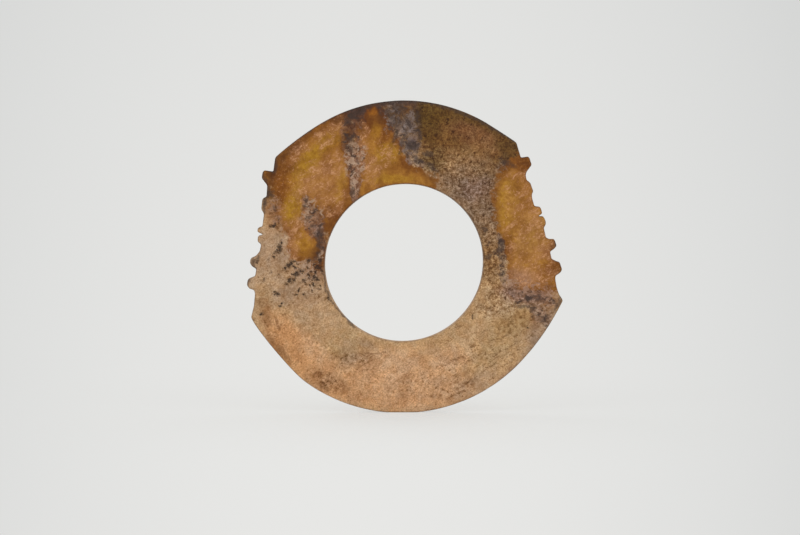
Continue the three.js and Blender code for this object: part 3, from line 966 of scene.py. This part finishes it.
def stone_material():
    """The jade: the clear stone, the veins, the curds and the dark marks on the altered stone."""
    p = Paint("mottled_jade")
    border = p.noise("amber_border")
    colour = stone_body(p, border)
    colour = p.mix(p.torn("amber", border), colour, stone_amber(p))
    tearing = p.noise("vein_border")
    colour = p.mix(p.torn("vein", tearing), colour, stone_vein(p, colour))
    curd = p.vary(p.read("curd_tint", "Color"), p.noise("curd_grit"), FINE_SHADE, FINE_LIGHT)
    colour = p.cover("curd", p.times(p.spots("curd"), p.torn("curd", tearing)), colour, curd)
    tearing = p.noise("murk_border")
    # The darkest places, and the dark lines painted along the rim and the bore
    for mark in ("murk", "rim"):
        colour = p.cover(mark, p.torn(mark, tearing), colour, MURK)
    speck = p.read("speck")
    halo = p.ragged("halo", speck, p.noise("halo_border"))
    colour = p.cover("halo", halo, colour, HALO, "MULTIPLY")
    core = p.ragged("core", p.times(speck, CORE_REACH), p.noise("core_border"))
    colour = p.cover("core", core, colour, BLACK)
    # The edges, painted darker as the surface turns from the face
    colour = p.mix(p.read("edge"), colour, EDGE_SHADE, "MULTIPLY")
    p.put(p.shader.inputs["Base Color"], colour)

    dull = p.math("ADD", POLISH, p.times(p.noise("polish"), POLISH_SPREAD))
    p.put(p.shader.inputs["Roughness"], dull)
    p.shader.inputs["Specular IOR Level"].default_value = GLOSS
    bump = p.nodes.new("ShaderNodeBump")
    bump.inputs["Strength"].default_value = BUMP_STRENGTH
    bump.inputs["Distance"].default_value = BUMP_DEPTH * MM
    p.put(bump.inputs["Height"], p.noise("bump"))
    p.put(p.shader.inputs["Normal"], bump.outputs["Normal"])
    return p.material


# Studio, in metres: the wall glows round a place behind the disc, further up than across. The
# table fades out of sight between two distances, and is faint at the disc already.
ROOM_RADIUS = 3
ROOM_SIDES = 96
GLOW = linear(231, 231, 229)
DUSK = linear(212, 213, 212)
GLOW_PLACE = (-0.04, 2.97, -0.44)
GLOW_REACH = 0.69
GLOW_UPWARD = 0.59
TABLE_RADIUS = 2 * ROOM_RADIUS
TABLE = linear(232, 232, 228)
TABLE_ROUGHNESS = 0.5
TABLE_FADE = (-0.4, 0.25)
SKY_STRENGTH = 0.45

# The lamps: a place, a width and a power
LAMPS = {
    "front_left": ((-1.0, -1.0, 0.9), 1.2, 8.6),
    "front_right": ((1.0, -1.0, 0.9), 1.2, 8.6),
    "back_left": ((-1.0, 1.0, 0.9), 1.0, 7.4),
    "back_right": ((1.0, 1.0, 0.9), 1.2, 5.6),
}


def camera():
    """Looks at the disc from the photograph's angle."""
    data = bpy.data.cameras.new("camera")
    data.sensor_width = SENSOR
    data.lens = SENSOR * VIEW_DISTANCE / FRAME_WIDTH
    data.clip_end = SIGHT
    item = bpy.data.objects.new("camera", data)
    bpy.context.scene.collection.objects.link(item)
    aim = Vector((AIM_ACROSS, 0, AIM_HEIGHT)) * MM
    back = Vector((0, -math.cos(VIEW_ELEVATION), math.sin(VIEW_ELEVATION)))
    item.location = aim + back * VIEW_DISTANCE
    item.rotation_euler = (-back).to_track_quat("-Z", "Y").to_euler()
    bpy.context.scene.camera = item


def lamp(name, place, size, power):
    """A round soft lamp that looks at the disc."""
    data = bpy.data.lights.new(name, "AREA")
    data.shape = "DISK"
    data.size = size
    data.energy = power
    item = bpy.data.objects.new(name, data)
    bpy.context.scene.collection.objects.link(item)
    item.location = place
    aim = Vector((0, 0, BORE_HEIGHT * MM))
    item.rotation_euler = (aim - Vector(place)).to_track_quat("-Z", "Y").to_euler()


def table():
    """A pale table that holds the disc's shadow and fades into the room."""
    bpy.ops.object.select_all(action="DESELECT")
    bpy.ops.mesh.primitive_circle_add(vertices=ROOM_SIDES, radius=TABLE_RADIUS, fill_type="NGON")
    top = bpy.context.active_object
    top.name = "table"
    p = Paint("table_white")
    p.shader.inputs["Base Color"].default_value = TABLE
    p.shader.inputs["Roughness"].default_value = TABLE_ROUGHNESS
    clear = p.nodes.new("ShaderNodeBsdfTransparent")
    p.seen(p.step(p.away((0, 0, 0)), *TABLE_FADE), p.shader.outputs["BSDF"], clear.outputs["BSDF"])
    top.data.materials.append(p.material)


def room():
    """A pale round wall that only the camera sees, brightest behind the disc."""
    bpy.ops.object.select_all(action="DESELECT")
    bpy.ops.mesh.primitive_uv_sphere_add(segments=ROOM_SIDES, ring_count=ROOM_SIDES // 2,
                                         radius=ROOM_RADIUS)
    wall = bpy.context.active_object
    wall.name = "room"
    p = Paint("room_white")
    away = p.times(p.away(GLOW_PLACE, GLOW_UPWARD), 1 / GLOW_REACH)
    glow = p.nodes.new("ShaderNodeEmission")
    p.put(glow.inputs["Color"], p.mix(p.times(away, away), GLOW, DUSK))
    clear = p.nodes.new("ShaderNodeBsdfTransparent")
    p.seen(1.0, clear.outputs["BSDF"], glow.outputs["Emission"])
    wall.data.materials.append(p.material)


def sky():
    """Even light from all round."""
    world = bpy.data.worlds.new("sky")
    bpy.context.scene.world = world
    world.use_nodes = True
    light = world.node_tree.nodes["Background"]
    light.inputs["Color"].default_value = (1, 1, 1, 1)
    light.inputs["Strength"].default_value = SKY_STRENGTH


bpy.context.scene.view_settings.view_transform = "Standard"
camera()
table()
room()
sky()
for name, (place, size, power) in LAMPS.items():
    lamp(name, place, size, power)

stone = fine_stone()
paint_stone(stone)
stone.data.materials.append(stone_material())
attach(stone, "root")
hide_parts("jade_disc")
